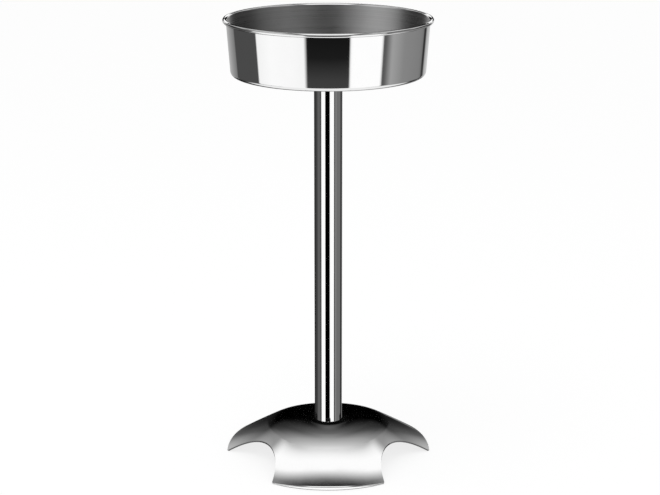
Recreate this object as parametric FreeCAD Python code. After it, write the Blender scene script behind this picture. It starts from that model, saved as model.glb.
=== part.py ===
import FreeCAD, Part
import math
import os

# Champagne bucket stand: a shallow drawn pan on a round pole, on a pressed base whose
# three feet spread from one domed crown.  Sizes are in millimetres and angles in degrees.
# +Z is up, the origin is on the floor on the pole's axis, and one foot points to -Y.

# ---- the whole stand ----
TOTAL_HEIGHT = 516.0            # floor to the top of the pan's rolled rim
BUTT_GAP = 0.05                 # radial play of a plug in the tube and of a thread in its hole

# ---- bucket pan, drawn from thin sheet ----
PAN_RIM_DIAMETER = 235.0        # outside of the rolled rim
PAN_HEIGHT = 63.5               # underside of the floor to the top of the rim
PAN_SHEET = 0.9
PAN_CORNER_RADIUS = 5.0         # outside of the bend between floor and wall
PAN_WALL_TAPER = 4.2            # lean of the wall away from vertical
RIM_ROLL_DIAMETER = 4.7         # outside of the rolled edge's own section
RIM_ROLL_TURN = 285.0           # how far the sheet's edge is curled round
RECESS_DIAMETER = 76.0          # pressed recess that sinks the screw below the floor
RECESS_DEPTH = 9.5
RECESS_WALL_ANGLE = 60.0        # slope of the recess's wall
RECESS_BEND_RADIUS = 3.0        # on the underside, at the recess's foot and lip
SCREW_HOLE_PLAY = 0.3           # radial play of a screw in a plain hole

# ---- pole ----
POLE_DIAMETER = 32.0
POLE_WALL = 1.2
POLE_END_CHAMFER = 0.4
TOP_PLUG_LENGTH = 25.0
BOTTOM_PLUG_LENGTH = 30.0
PLUG_CHAMFER = 1.5

# ---- support disc between the pole's top and the pan's recess ----
SUPPORT_DISC_THICKNESS = 3.0
SUPPORT_DISC_MARGIN = 1.5       # flat of the recess left round the disc
SUPPORT_DISC_CHAMFER = 0.8

# ---- screw that holds the pan, seen in the recess ----
PAN_SCREW_DIAMETER = 8.0
PAN_SCREW_LENGTH = 25.0
PAN_SCREW_HEAD_DIAMETER = 14.0
PAN_SCREW_HEAD_HEIGHT = 4.4
PAN_SCREW_CROWN_DIAMETER = 7.4  # flat top of the domed head
PAN_SCREW_KEY = 5.0             # across the flats of the hexagon socket
PAN_SCREW_KEY_DEPTH = 2.6
PAN_WASHER_DIAMETER = 24.0
PAN_WASHER_THICKNESS = 2.0
PAN_SPRING_WASHER_DIAMETER = 14.8
PAN_SPRING_WASHER_THICKNESS = 2.0

# ---- base, pressed from heavier sheet ----
# Reaches and slopes are those along the middle of a foot.
BASE_DIAMETER = 240.0           # circle through the outer edges of the feet
BASE_SHEET = 1.5
CROWN_HEIGHT = 41.4             # floor to the flat land that the pole stands on
CROWN_LAND_DIAMETER = 48.0
CROWN_DIAMETER = 98.0           # out to where the shallow crown meets the shoulder
CROWN_FALL = 5.0                # slope there
SHOULDER_RADIUS = 62.0
FLANK_BEND = 2.5                # how far the crowned flank turns below the shoulder
FOOT_EDGE_HEIGHT = 4.6          # floor to the show face at a foot's edge
FOOT_ARCH = 0.082               # share by which the level lines draw in between the feet
EDGE_BEND_RADIUS = 1.8          # outside of the bend into the turned-down lip
FLOOR_CLEARANCE = 0.5           # lip above the floor, because the pads stand proud

# ---- how finely the pressed form is followed ----
LEVEL_POINTS = 36               # points round each level line, a multiple of the feet
CROWN_STATIONS = 4
SHOULDER_STATIONS = 5
FLANK_STATIONS = 4

# ---- round bites between the feet ----
FOOT_COUNT = 3
WAIST_RADIUS = 81.5             # pole's axis to the nearest point of a bite
BITE_RADIUS = 75.0
TOE_RADIUS = 2.5                # rounding of the feet's corners

# ---- stiffener, bolt and washers under the crown ----
STIFFENER_THICKNESS = 4.0
STIFFENER_DIAMETER = 42.0
BASE_BOLT_DIAMETER = 10.0
BASE_BOLT_LENGTH = 30.0
BASE_BOLT_KEY = 17.0            # across the flats of the hexagon head
BASE_BOLT_HEAD_HEIGHT = 6.4
BASE_BOLT_HEAD_CHAMFER = 1.2
BASE_WASHER_DIAMETER = 30.0
BASE_WASHER_THICKNESS = 2.5
BASE_SPRING_WASHER_DIAMETER = 18.1
BASE_SPRING_WASHER_THICKNESS = 2.2
SPRING_WASHER_SLOT = 1.6

# ---- rubber pads under the feet ----
PAD_EDGE_MARGIN = 5.0           # from the lip's outer face to the pad
PAD_WIDTH = 9.0
PAD_SPREAD = 36.0               # angle that a pad covers, seen from the pole's axis
PAD_CORNER_RADIUS = 3.0
PAD_GLUE_GAP = 0.1

Vector = FreeCAD.Vector
UP = Vector(0, 0, 1)
CENTRE = Vector(0, 0, 0)


# ---- sheet sections: a path walked outwards in the XZ plane ----

def run(length):
    """A straight step of the path, as its length and its turn."""
    return length, 0.0


def bend(radius, degrees):
    """A round step: the radius is the path's own, and a positive turn is to the left."""
    turn = math.radians(degrees)
    return radius * abs(turn), turn


def advance(point, heading, step, share=1.0):
    """Where the path is after a share of one step, and which way it then points.

    A step of length s that turns by t has a chord of s * sin(t / 2) / (t / 2), and the
    chord points half the turn away from the heading at the step's start.
    """
    length, turn = step[0] * share, step[1] * share
    half = turn / 2
    chord = length * math.sin(half) / half if half else length
    away = Vector(math.cos(heading + half), 0, math.sin(heading + half))
    return point + away * chord, heading + turn


def leftward(heading):
    """Unit vector to the left of the heading."""
    return Vector(-math.sin(heading), 0, math.cos(heading))


def walk(start, steps, offset=0.0):
    """Edges of a path that sets out towards +X, moved to its left by the offset."""
    edges = []
    point, heading = start, 0.0
    for step in steps:
        ends = [(point, heading)]
        ends += [advance(point, heading, step, share) for share in (0.5, 1.0)]
        first, middle, last = [p + leftward(h) * offset for p, h in ends]
        if step[1]:
            edges.append(Part.Arc(first, middle, last).toShape())
        else:
            edges.append(Part.LineSegment(first, last).toShape())
        point, heading = ends[-1]
    return edges


def first_point(edges):
    return edges[0].valueAt(edges[0].FirstParameter)


def last_point(edges):
    return edges[-1].valueAt(edges[-1].LastParameter)


def line(a, b):
    return Part.LineSegment(a, b).toShape()


def turned(edges):
    """Solid of revolution about the pole's axis from a closed section."""
    wire = Part.Wire(Part.__sortEdges__(edges))
    return Part.Face(wire).revolve(CENTRE, UP, 360)


def turned_sheet(start, steps, offset):
    """Sheet metal between a path and the same path moved sideways by the offset."""
    near = walk(start, steps)
    far = walk(start, steps, offset)
    start_edge = line(first_point(near), first_point(far))
    end_edge = line(last_point(near), last_point(far))
    return turned(near + far + [start_edge, end_edge])


def turned_outline(corners):
    """Solid of revolution from a list of (radius, height) corners."""
    points = [Vector(r, 0, z) for r, z in corners]
    return turned([line(a, b) for a, b in zip(points, points[1:] + points[:1])])


def cylinder(radius, bottom, top):
    return Part.makeCylinder(radius, top - bottom, Vector(0, 0, bottom))


def hexagon(across_flats, bottom, top):
    corner = across_flats / math.sqrt(3)
    angles = [math.radians(60 * i) for i in range(7)]
    ring = [Vector(corner * math.cos(a), corner * math.sin(a), bottom) for a in angles]
    return Part.Face(Part.makePolygon(ring)).extrude(Vector(0, 0, top - bottom))


def around(shape, count):
    """The shape and its copies, spaced evenly round the pole's axis."""
    copies = []
    for i in range(count):
        copy = shape.copy()
        copy.rotate(CENTRE, UP, 360 / count * i)
        copies.append(copy)
    return copies


# ---- heights that the stack of pieces settles ----

PAN_UNDERSIDE = TOTAL_HEIGHT - PAN_HEIGHT
RECESS_UNDERSIDE = PAN_UNDERSIDE - RECESS_DEPTH
RECESS_FLOOR = RECESS_UNDERSIDE + PAN_SHEET
PAN_WASHER_TOP = RECESS_FLOOR + PAN_WASHER_THICKNESS
PAN_SCREW_SEAT = PAN_WASHER_TOP + PAN_SPRING_WASHER_THICKNESS
POLE_TOP = RECESS_UNDERSIDE - SUPPORT_DISC_THICKNESS
POLE_BOTTOM = CROWN_HEIGHT
CROWN_UNDERSIDE = CROWN_HEIGHT - BASE_SHEET
STIFFENER_UNDERSIDE = CROWN_UNDERSIDE - STIFFENER_THICKNESS
BASE_WASHER_UNDERSIDE = STIFFENER_UNDERSIDE - BASE_WASHER_THICKNESS
BASE_BOLT_SEAT = BASE_WASHER_UNDERSIDE - BASE_SPRING_WASHER_THICKNESS

POLE_RADIUS = POLE_DIAMETER / 2
PLUG_RADIUS = POLE_RADIUS - POLE_WALL - BUTT_GAP
PAN_SCREW_RADIUS = PAN_SCREW_DIAMETER / 2
PAN_SCREW_HOLE_RADIUS = PAN_SCREW_RADIUS + SCREW_HOLE_PLAY
BASE_BOLT_RADIUS = BASE_BOLT_DIAMETER / 2
BASE_BOLT_HOLE_RADIUS = BASE_BOLT_RADIUS + SCREW_HOLE_PLAY
BASE_RADIUS = BASE_DIAMETER / 2
STIFFENER_RADIUS = STIFFENER_DIAMETER / 2


# ---- bucket pan ----

def recess_wall():
    """Length and reach of the recess's sloping wall, and the radius of its flat."""
    slope = math.radians(RECESS_WALL_ANGLE)
    bends_rise = 2 * RECESS_BEND_RADIUS * (1 - math.cos(slope))
    bends_reach = 2 * RECESS_BEND_RADIUS * math.sin(slope)
    length = (RECESS_DEPTH - bends_rise) / math.sin(slope)
    flat_radius = RECESS_DIAMETER / 2 - bends_reach - length * math.cos(slope)
    return length, flat_radius


def bucket_pan():
    """Drawn pan with a leaning wall, whose edge is rolled outwards into a round bead.

    The path is the pan's outer face, walked from the screw hole to the end of the roll.
    """
    roll = RIM_ROLL_DIAMETER / 2
    inside_roll = roll - PAN_SHEET
    lean = math.radians(PAN_WALL_TAPER)
    wall_heading = math.pi / 2 - lean
    wall_end_radius = PAN_RIM_DIAMETER / 2 - roll - inside_roll * math.cos(lean)
    wall_end_height = TOTAL_HEIGHT - roll + inside_roll * math.sin(lean)
    corner_rise = PAN_CORNER_RADIUS * (1 - math.cos(wall_heading))
    corner_reach = PAN_CORNER_RADIUS * math.sin(wall_heading)
    wall = (wall_end_height - PAN_UNDERSIDE - corner_rise) / math.sin(wall_heading)
    floor_radius = wall_end_radius - wall * math.cos(wall_heading) - corner_reach
    recess_slope, recess_flat = recess_wall()
    steps = [
        run(recess_flat - PAN_SCREW_HOLE_RADIUS),
        bend(RECESS_BEND_RADIUS, RECESS_WALL_ANGLE),
        run(recess_slope),
        bend(RECESS_BEND_RADIUS, -RECESS_WALL_ANGLE),
        run(floor_radius - RECESS_DIAMETER / 2),
        bend(PAN_CORNER_RADIUS, math.degrees(wall_heading)),
        run(wall),
        bend(inside_roll, -RIM_ROLL_TURN),
    ]
    start = Vector(PAN_SCREW_HOLE_RADIUS, 0, RECESS_UNDERSIDE)
    return turned_sheet(start, steps, PAN_SHEET)


# ---- screw, washers and disc that fix the pan to the pole ----

def washer(hole_radius, diameter, bottom, top):
    return cylinder(diameter / 2, bottom, top).cut(cylinder(hole_radius, bottom, top))


def spring_washer(hole_radius, diameter, bottom, top):
    """Split washer, shown pressed flat as it is when the screw is tight."""
    ring = washer(hole_radius, diameter, bottom, top)
    corner = Vector(0, -SPRING_WASHER_SLOT / 2, bottom)
    slot = Part.makeBox(diameter, SPRING_WASHER_SLOT, top - bottom, corner)
    return ring.cut(slot)


def pan_screw():
    """Domed-head screw with a hexagon socket."""
    top = PAN_SCREW_SEAT + PAN_SCREW_HEAD_HEIGHT
    rim = Vector(PAN_SCREW_HEAD_DIAMETER / 2, 0, PAN_SCREW_SEAT)
    crown = Vector(PAN_SCREW_CROWN_DIAMETER / 2, 0, top)
    bulge = Vector((rim.x + crown.x) / 2, 0, (rim.z + crown.z) / 2)
    bulge += Vector(PAN_SCREW_HEAD_HEIGHT, 0, rim.x - crown.x).normalize()
    tip = Vector(0, 0, PAN_SCREW_SEAT - PAN_SCREW_LENGTH)
    shank_top = Vector(PAN_SCREW_RADIUS, 0, PAN_SCREW_SEAT)
    shank_tip = Vector(PAN_SCREW_RADIUS, 0, tip.z)
    axis_top = Vector(0, 0, top)
    screw = turned([
        Part.Arc(rim, bulge, crown).toShape(),
        line(crown, axis_top),
        line(axis_top, tip),
        line(tip, shank_tip),
        line(shank_tip, shank_top),
        line(shank_top, rim),
    ])
    return screw.cut(hexagon(PAN_SCREW_KEY, top - PAN_SCREW_KEY_DEPTH, top))


def pan_washer():
    return washer(PAN_SCREW_HOLE_RADIUS, PAN_WASHER_DIAMETER, RECESS_FLOOR, PAN_WASHER_TOP)


def pan_spring_washer():
    return spring_washer(
        PAN_SCREW_HOLE_RADIUS, PAN_SPRING_WASHER_DIAMETER, PAN_WASHER_TOP, PAN_SCREW_SEAT)


def pan_support_disc():
    """Disc on the pole's end that spreads the bucket's weight under the thin recess."""
    radius = recess_wall()[1] - SUPPORT_DISC_MARGIN
    return turned_outline([
        (PAN_SCREW_HOLE_RADIUS, POLE_TOP),
        (radius - SUPPORT_DISC_CHAMFER, POLE_TOP),
        (radius, POLE_TOP + SUPPORT_DISC_CHAMFER),
        (radius, RECESS_UNDERSIDE),
        (PAN_SCREW_HOLE_RADIUS, RECESS_UNDERSIDE),
    ])


# ---- pole ----

def pole_tube():
    """Plain round tube, its ends cut square and the outer burr taken off."""
    inside = POLE_RADIUS - POLE_WALL
    eased = POLE_RADIUS - POLE_END_CHAMFER
    return turned_outline([
        (inside, POLE_BOTTOM),
        (eased, POLE_BOTTOM),
        (POLE_RADIUS, POLE_BOTTOM + POLE_END_CHAMFER),
        (POLE_RADIUS, POLE_TOP - POLE_END_CHAMFER),
        (eased, POLE_TOP),
        (inside, POLE_TOP),
    ])


def plug(thread_radius, flush, inner):
    """Threaded plug welded into the tube: flush with its end, eased at the inner end."""
    bore = thread_radius + BUTT_GAP
    ease = math.copysign(PLUG_CHAMFER, inner - flush)
    return turned_outline([
        (bore, flush),
        (PLUG_RADIUS, flush),
        (PLUG_RADIUS, inner - ease),
        (PLUG_RADIUS - PLUG_CHAMFER, inner),
        (bore, inner),
    ])


def pole_top_plug():
    return plug(PAN_SCREW_RADIUS, POLE_TOP, POLE_TOP - TOP_PLUG_LENGTH)


def pole_bottom_plug():
    return plug(BASE_BOLT_RADIUS, POLE_BOTTOM, POLE_BOTTOM + BOTTOM_PLUG_LENGTH)


# ---- base ----

def base_profile():
    """The show face down the middle of a foot, from the land's edge to below the floor.

    Crown, shoulder, crowned flank and a straight end follow each other without a kink.
    The straight end only gives the floor something to trim.  The flank's chord reaches
    the foot's edge and passes the shoulder's centre at the shoulder's radius times the
    cosine of half the flank's bend.  That settles the chord's slope.
    """
    fall = math.radians(CROWN_FALL)
    half = math.radians(FLANK_BEND) / 2
    start = Vector(CROWN_LAND_DIAMETER / 2, 0, CROWN_HEIGHT)
    crown = bend((CROWN_DIAMETER / 2 - start.x) / math.sin(fall), -CROWN_FALL)
    brow, heading = advance(start, 0.0, crown)
    foot_edge = Vector(BASE_RADIUS, 0, FOOT_EDGE_HEIGHT)
    sight = foot_edge - brow + leftward(heading) * SHOULDER_RADIUS
    passed = SHOULDER_RADIUS * math.cos(half) / sight.Length
    slope = math.asin(passed) - math.atan2(sight.z, sight.x)
    shoulder = bend(SHOULDER_RADIUS, -math.degrees(slope - half - fall))
    chord = foot_edge - advance(brow, heading, shoulder)[0]
    flank = chord.Length * half / math.sin(half), -2 * half
    end = run((FOOT_EDGE_HEIGHT + 2 * BASE_SHEET) / math.sin(slope + half))
    return start, [
        (crown, CROWN_STATIONS),
        (shoulder, SHOULDER_STATIONS),
        (flank, FLANK_STATIONS),
        (end, 1),
    ]


def level_line(reach, height):
    """Closed level line of the pressed form, with its reach along the feet's middles.

    It draws in between the feet, because each foot is arched across.  It starts at +Y,
    where a bite takes most of the form's seam away.
    """
    points = []
    for i in range(LEVEL_POINTS):
        angle = 2 * math.pi / LEVEL_POINTS * i
        between = (1 + math.cos(FOOT_COUNT * angle)) / 2
        radius = reach / (1 + FOOT_ARCH * between)
        points.append(Vector(-radius * math.sin(angle), radius * math.cos(angle), height))
    curve = Part.BSplineCurve()
    curve.interpolate(Points=points, PeriodicFlag=True)
    return Part.Wire([curve.toShape()])


def pressed_form(depth):
    """Solid below the pressed form, lofted through its level lines.

    The depth sinks it square to the show face, as the sheet's own thickness does.
    """
    point, steps = base_profile()
    heading = 0.0
    stations = [point - leftward(heading) * depth]
    for step, count in steps:
        for i in range(count):
            place, slope = advance(point, heading, step, (i + 1) / count)
            stations.append(place - leftward(slope) * depth)
        point, heading = advance(point, heading, step)
    return Part.makeLoft([level_line(p.x, p.z) for p in stations], True)


def upright_edges(shape):
    """The straight vertical edges of a prism, which are its corners seen from above."""
    corners = []
    for edge in shape.Edges:
        along = last_point([edge]) - first_point([edge])
        if edge.Curve.TypeId == "Part::GeomLine" and along.cross(UP).Length < BUTT_GAP:
            corners.append(edge)
    return corners


def bitten_disc(radius, bite_radius, bottom):
    """Upright disc with a round bite between each two feet.

    The first bite points to +Y.  The disc's own seam is turned there, so it is cut away.
    """
    disc = cylinder(radius, bottom, CROWN_HEIGHT)
    disc.rotate(CENTRE, UP, 90)
    bite_centre = Vector(0, WAIST_RADIUS + BITE_RADIUS, bottom)
    bite = Part.makeCylinder(bite_radius, CROWN_HEIGHT - bottom, bite_centre)
    for cutter in around(bite, FOOT_COUNT):
        disc = disc.cut(cutter)
    return disc


def foot_outline():
    """Upright prism with the base's plan, its corners eased."""
    prism = bitten_disc(BASE_RADIUS, BITE_RADIUS, FLOOR_CLEARANCE)
    return prism.makeFillet(TOE_RADIUS, upright_edges(prism))


def hollow_under_base(gap):
    """Everything inside the lip and below the sheet, kept clear of both by the gap.

    It runs out a little past the bites, so that the sheet is open there.
    """
    depth = BASE_SHEET + gap
    inside_lip = bitten_disc(BASE_RADIUS - depth, BITE_RADIUS - depth, -CROWN_HEIGHT)
    return pressed_form(depth).common(inside_lip)


def rim_edges(body):
    """The sharp edges where the show face meets the lip's outer face."""
    edges = []
    for edge in body.Edges:
        middle = edge.valueAt((edge.FirstParameter + edge.LastParameter) / 2)
        off_rim = abs(math.hypot(middle.x, middle.y) - BASE_RADIUS)
        if off_rim < BUTT_GAP and edge.BoundBox.ZMax > FLOOR_CLEARANCE + EDGE_BEND_RADIUS:
            edges.append(edge)
    return edges


def base_shell():
    """Pressed sheet with the turned-down lip, trimmed to its three feet."""
    body = pressed_form(0).common(foot_outline())
    body = body.makeFillet(EDGE_BEND_RADIUS, rim_edges(body))
    body = body.cut(hollow_under_base(0))
    return body.cut(cylinder(BASE_BOLT_HOLE_RADIUS, 0, CROWN_HEIGHT))


# ---- bolt, washers and stiffener that fix the base to the pole ----

def base_stiffener():
    """Thick disc that keeps the thin crown flat when the bolt is tight."""
    return washer(
        BASE_BOLT_HOLE_RADIUS, 2 * STIFFENER_RADIUS, STIFFENER_UNDERSIDE, CROWN_UNDERSIDE)


def base_washer():
    return washer(
        BASE_BOLT_HOLE_RADIUS, BASE_WASHER_DIAMETER, BASE_WASHER_UNDERSIDE,
        STIFFENER_UNDERSIDE)


def base_spring_washer():
    return spring_washer(
        BASE_BOLT_HOLE_RADIUS, BASE_SPRING_WASHER_DIAMETER, BASE_BOLT_SEAT,
        BASE_WASHER_UNDERSIDE)


def base_bolt():
    """Hexagon bolt, put in from below, with the head's outer corners turned off."""
    head_bottom = BASE_BOLT_SEAT - BASE_BOLT_HEAD_HEIGHT
    head = hexagon(BASE_BOLT_KEY, head_bottom, BASE_BOLT_SEAT)
    flat = BASE_BOLT_KEY / 2
    corner = flat + BASE_BOLT_HEAD_CHAMFER * 2
    head = head.common(turned_outline([
        (0, head_bottom),
        (flat, head_bottom),
        (corner, head_bottom + BASE_BOLT_HEAD_CHAMFER),
        (corner, BASE_BOLT_SEAT),
        (0, BASE_BOLT_SEAT),
    ]))
    shank = cylinder(BASE_BOLT_RADIUS, BASE_BOLT_SEAT, BASE_BOLT_SEAT + BASE_BOLT_LENGTH)
    return head.fuse(shank).removeSplitter()


# ---- pads ----

def foot_pads():
    """One curved rubber strip glued under each foot, just inside the lip."""
    outer_radius = BASE_RADIUS - PAD_EDGE_MARGIN
    strip = Part.makeCylinder(outer_radius, CROWN_HEIGHT, CENTRE, UP, PAD_SPREAD)
    strip = strip.cut(cylinder(outer_radius - PAD_WIDTH, 0, CROWN_HEIGHT))
    strip.rotate(CENTRE, UP, -90 - PAD_SPREAD / 2)
    strip = strip.makeFillet(PAD_CORNER_RADIUS, upright_edges(strip))
    pad = strip.common(hollow_under_base(PAD_GLUE_GAP))
    return Part.makeCompound(around(pad, FOOT_COUNT))


# ---- one STEP file for each piece ----

PIECES = {
    "bucket_pan": bucket_pan,
    "pan_screw": pan_screw,
    "pan_spring_washer": pan_spring_washer,
    "pan_washer": pan_washer,
    "pan_support_disc": pan_support_disc,
    "pole_tube": pole_tube,
    "pole_top_plug": pole_top_plug,
    "pole_bottom_plug": pole_bottom_plug,
    "base_shell": base_shell,
    "base_stiffener": base_stiffener,
    "base_washer": base_washer,
    "base_spring_washer": base_spring_washer,
    "base_bolt": base_bolt,
    "foot_pads": foot_pads,
}

os.makedirs("parts", exist_ok=True)
for name, make in PIECES.items():
    shape = make()
    print(name, len(shape.Solids), shape.isValid(), round(shape.Volume))
    shape.exportStep("parts/" + name + ".step")
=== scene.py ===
import math

import bmesh
import bpy
import numpy as np
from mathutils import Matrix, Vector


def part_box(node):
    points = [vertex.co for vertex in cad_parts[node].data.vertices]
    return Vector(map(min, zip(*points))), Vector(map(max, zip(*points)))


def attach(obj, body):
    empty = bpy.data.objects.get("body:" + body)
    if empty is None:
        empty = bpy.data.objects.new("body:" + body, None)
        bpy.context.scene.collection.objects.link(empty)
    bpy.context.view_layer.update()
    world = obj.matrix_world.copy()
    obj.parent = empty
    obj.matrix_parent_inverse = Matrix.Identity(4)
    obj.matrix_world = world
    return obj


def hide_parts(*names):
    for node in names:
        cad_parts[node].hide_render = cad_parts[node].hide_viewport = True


# Champagne bucket stand: a shallow drawn pan on a round pole, on a pressed base with three
# feet.  The frame is in metres, +Z is up, the origin is on the floor on the pole's axis, and
# one foot points to -Y.  The pieces follow from the floor up, as the stand is put together.

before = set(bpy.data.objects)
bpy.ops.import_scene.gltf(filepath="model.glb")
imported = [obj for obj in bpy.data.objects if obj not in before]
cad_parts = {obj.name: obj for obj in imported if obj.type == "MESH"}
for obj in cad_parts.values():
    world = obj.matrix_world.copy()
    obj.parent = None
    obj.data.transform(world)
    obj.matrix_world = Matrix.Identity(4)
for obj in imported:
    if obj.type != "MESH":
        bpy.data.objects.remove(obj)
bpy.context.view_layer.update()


# ======== rubber pads ========
# One curved strip of black rubber under each foot, cut from soft sheet with rounded
# corners. It is glued to the hollow side of the base just inside the lip and carries it
# a little clear of the floor.

MM = 0.001


def new_material(name):
    """A material, with its nodes, its links and its shader."""
    material = bpy.data.materials.new(name)
    material.use_nodes = True
    tree = material.node_tree
    return material, tree.nodes, tree.links, tree.nodes["Principled BSDF"]


def noise(nodes, links, vector, scale, detail):
    """Soft noise read at a vector."""
    node = nodes.new("ShaderNodeTexNoise")
    node.inputs["Scale"].default_value = scale
    node.inputs["Detail"].default_value = detail
    links.new(vector, node.inputs["Vector"])
    return node.outputs["Fac"]


def colour_ramp(nodes, links, share, stops):
    """The colour at a share, through (position, colour) stops. A lone number is a grey."""
    ramp = nodes.new("ShaderNodeValToRGB")
    elements = ramp.color_ramp.elements
    elements[0].position, elements[1].position = stops[0][0], stops[-1][0]
    for position, _ in stops[1:-1]:
        elements.new(position)
    for element, (_, colour) in zip(elements, stops):
        element.color = (*np.broadcast_to(colour, 3), 1)
    links.new(share, ramp.inputs["Fac"])
    return ramp.outputs["Color"]


def relief(nodes, links, shader, height, strength, distance):
    """Tilts the shader's normals as a fine relief of the given height would."""
    bump = nodes.new("ShaderNodeBump")
    bump.inputs["Strength"].default_value = strength
    bump.inputs["Distance"].default_value = distance
    links.new(height, bump.inputs["Height"])
    links.new(bump.outputs["Normal"], shader.inputs["Normal"])


def pad_rubber():
    """Matt black rubber with a faint dusty bloom."""
    material, nodes, links, shader = new_material("pad_rubber")
    place = nodes.new("ShaderNodeTexCoord").outputs["Object"]
    bloom = noise(nodes, links, place, scale=220, detail=4)
    tone = colour_ramp(nodes, links, bloom,
                       [(0.35, 0.012), (0.75, (0.035, 0.034, 0.033))])
    links.new(tone, shader.inputs["Base Color"])
    relief(nodes, links, shader, bloom, strength=0.25, distance=0.2 * MM)
    shader.inputs["Roughness"].default_value = 0.75
    return material


def finish_node(node, material):
    """Gives a node that keeps its own mesh one finish all over."""
    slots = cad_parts[node].data.materials
    slots.clear()
    slots.append(material)


finish_node("foot_pads", pad_rubber())


# ======== pressed base ========
# One blank of 1.5 mm stainless sheet, pressed to a shallow crown that falls over a shoulder
# and a nearly straight flank to a narrow turned-down lip, each foot arched across. Three
# round bites leave three feet. Mirror-polished above, fine circular grain below.

TURN = 2 * math.pi
FOOT_COUNT = 3
FOOT_AZIMUTHS = [math.radians(-90 + 120 * foot) for foot in range(FOOT_COUNT)]
BASE_RADIUS = 119.98 * MM
BASE_SHEET = 1.5 * MM
CROWN_HEIGHT = 41.4 * MM
CROWN_LAND_RADIUS = 24 * MM
CROWN_RADIUS = 49 * MM
CROWN_FALL = math.radians(5)
SHOULDER_RADIUS = 62 * MM
FLANK_BEND = math.radians(2.5)
FOOT_EDGE_HEIGHT = 4.6 * MM
FOOT_ARCH = 0.082
EDGE_BEND_RADIUS = 1.8 * MM
FLOOR_CLEARANCE = 0.5 * MM
BOLT_HOLE_RADIUS = 5.3 * MM
WAIST_RADIUS = 81.5 * MM
BITE_RADIUS = 75 * MM
TOE_RADIUS = 2.5 * MM

# The grid of each face: radii from the bolt hole to the waist, close together over the
# shoulder, and shares of the way from the waist, where they start close, to the rim.
INNER_RADII = np.concatenate([[BOLT_HOLE_RADIUS], np.linspace(14 * MM, 20 * MM, 3),
                              np.linspace(22 * MM, 80.5 * MM, 40), [WAIST_RADIUS]])
OUTER_SHARES = np.linspace(0, 1, 61)[1:, None] ** 1.5
BEND_ROWS = 10
FOOT_COLUMNS = 97
PROFILE_POINTS = 4001
RIM_ROUNDS, RIM_STRIDE = 30, 0.7
BEND_ROUNDS = 6


def around(radius, height, azimuth):
    """Points at the given radii, heights and azimuths, as a grid of x, y and z."""
    radius, height, azimuth = np.broadcast_arrays(radius, height, azimuth)
    return np.stack([radius * np.cos(azimuth), radius * np.sin(azimuth), height], axis=-1)


def grid_faces(rows, columns, first=0):
    """Corner numbers of the squares of a grid whose points are numbered row by row."""
    number = first + np.arange(rows * columns).reshape(rows, columns)
    return np.stack([number[:-1, :-1], number[:-1, 1:], number[1:, 1:], number[1:, :-1]],
                    axis=-1).reshape(-1, 4)


def same_points(points, tolerance=1e-7):
    """Which of the points to keep, and for each point the number of the kept one it meets."""
    _, kept, same = np.unique(np.round(points / tolerance).astype(np.int64), axis=0,
                              return_index=True, return_inverse=True)
    return kept, same.reshape(-1)


def new_piece(name, points, faces, material):
    """A mesh object at the origin with one material."""
    mesh = bpy.data.meshes.new(name)
    mesh.from_pydata(points.tolist(), [], faces)
    mesh.materials.append(material)
    piece = bpy.data.objects.new(name, mesh)
    bpy.context.scene.collection.objects.link(piece)
    return piece


def straight(length):
    """A straight step of a path, as its length and its turn."""
    return length, 0.0


def bend(radius, turn):
    """A round step of a path. A positive turn is to the left."""
    return radius * abs(turn), turn


def trace(start, steps, along):
    """Points and leftward normals of a path, at distances along it.

    The path sets out from start towards +r. After a share u of a step of length s that
    turns by t, the point has moved by the chord u s sin(u t / 2) / (u t / 2), which points
    half the turn away from the heading at the step's start.
    """
    lengths = np.array([length for length, _ in steps])
    turns = np.array([turn for _, turn in steps])
    starts = np.concatenate([[0], np.cumsum(lengths)])
    headings = np.concatenate([[0], np.cumsum(turns)])
    chord = lengths * np.sinc(turns / TURN)
    hops = np.stack([chord * np.cos(headings[:-1] + turns / 2),
                     chord * np.sin(headings[:-1] + turns / 2)], axis=-1)
    corners = np.vstack([[start], np.array(start) + np.cumsum(hops, axis=0)])
    step = np.clip(np.searchsorted(starts, along, side="right") - 1, 0, len(steps) - 1)
    share = (along - starts[step]) / lengths[step]
    half = share * turns[step] / 2
    reach = share * lengths[step] * np.sinc(half / math.pi)
    aim = headings[step] + half
    point = corners[step] + reach[:, None] * np.stack([np.cos(aim), np.sin(aim)], axis=-1)
    heading = headings[step] + share * turns[step]
    return point, np.stack([-np.sin(heading), np.cos(heading)], axis=-1)


def polished(name, grids, materials):
    """A closed piece whose faces shade with the true normals of its curved surfaces.

    A grid is its points, the unit normals there, and the number of its material.
    """
    points = np.concatenate([p.reshape(-1, 3) for p, _, _ in grids])
    normals = np.concatenate([n.reshape(-1, 3) for _, n, _ in grids])
    slots, faces, first = [], [], 0
    for grid, normal, number in grids:
        squares = grid_faces(*grid.shape[:2], first)
        across = points[squares[:, 2]] - points[squares[:, 0]]
        along = points[squares[:, 3]] - points[squares[:, 1]]
        outward = (np.cross(across, along) * normals[squares].sum(axis=1)).sum()
        faces.append(squares if outward > 0 else squares[:, ::-1])
        slots.append(np.full(len(squares), number))
        first += grid[..., 0].size
    faces, slots = np.concatenate(faces), np.concatenate(slots)
    kept, same = same_points(points)
    made, shading, used = [], [], []
    for face, slot in zip(faces, slots):
        corners = dict(zip(same[face].tolist(), face.tolist()))
        if len(corners) > 2:
            made.append(list(corners))
            shading += list(corners.values())
            used.append(slot)
    piece = new_piece(name, points[kept], made, materials[0])
    for extra in materials[1:]:
        piece.data.materials.append(extra)
    piece.data.polygons.foreach_set("use_smooth", np.ones(len(made), bool))
    piece.data.polygons.foreach_set("material_index", np.array(used, np.int32))
    piece.data.normals_split_custom_set(normals[shading].tolist())
    return piece


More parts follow.
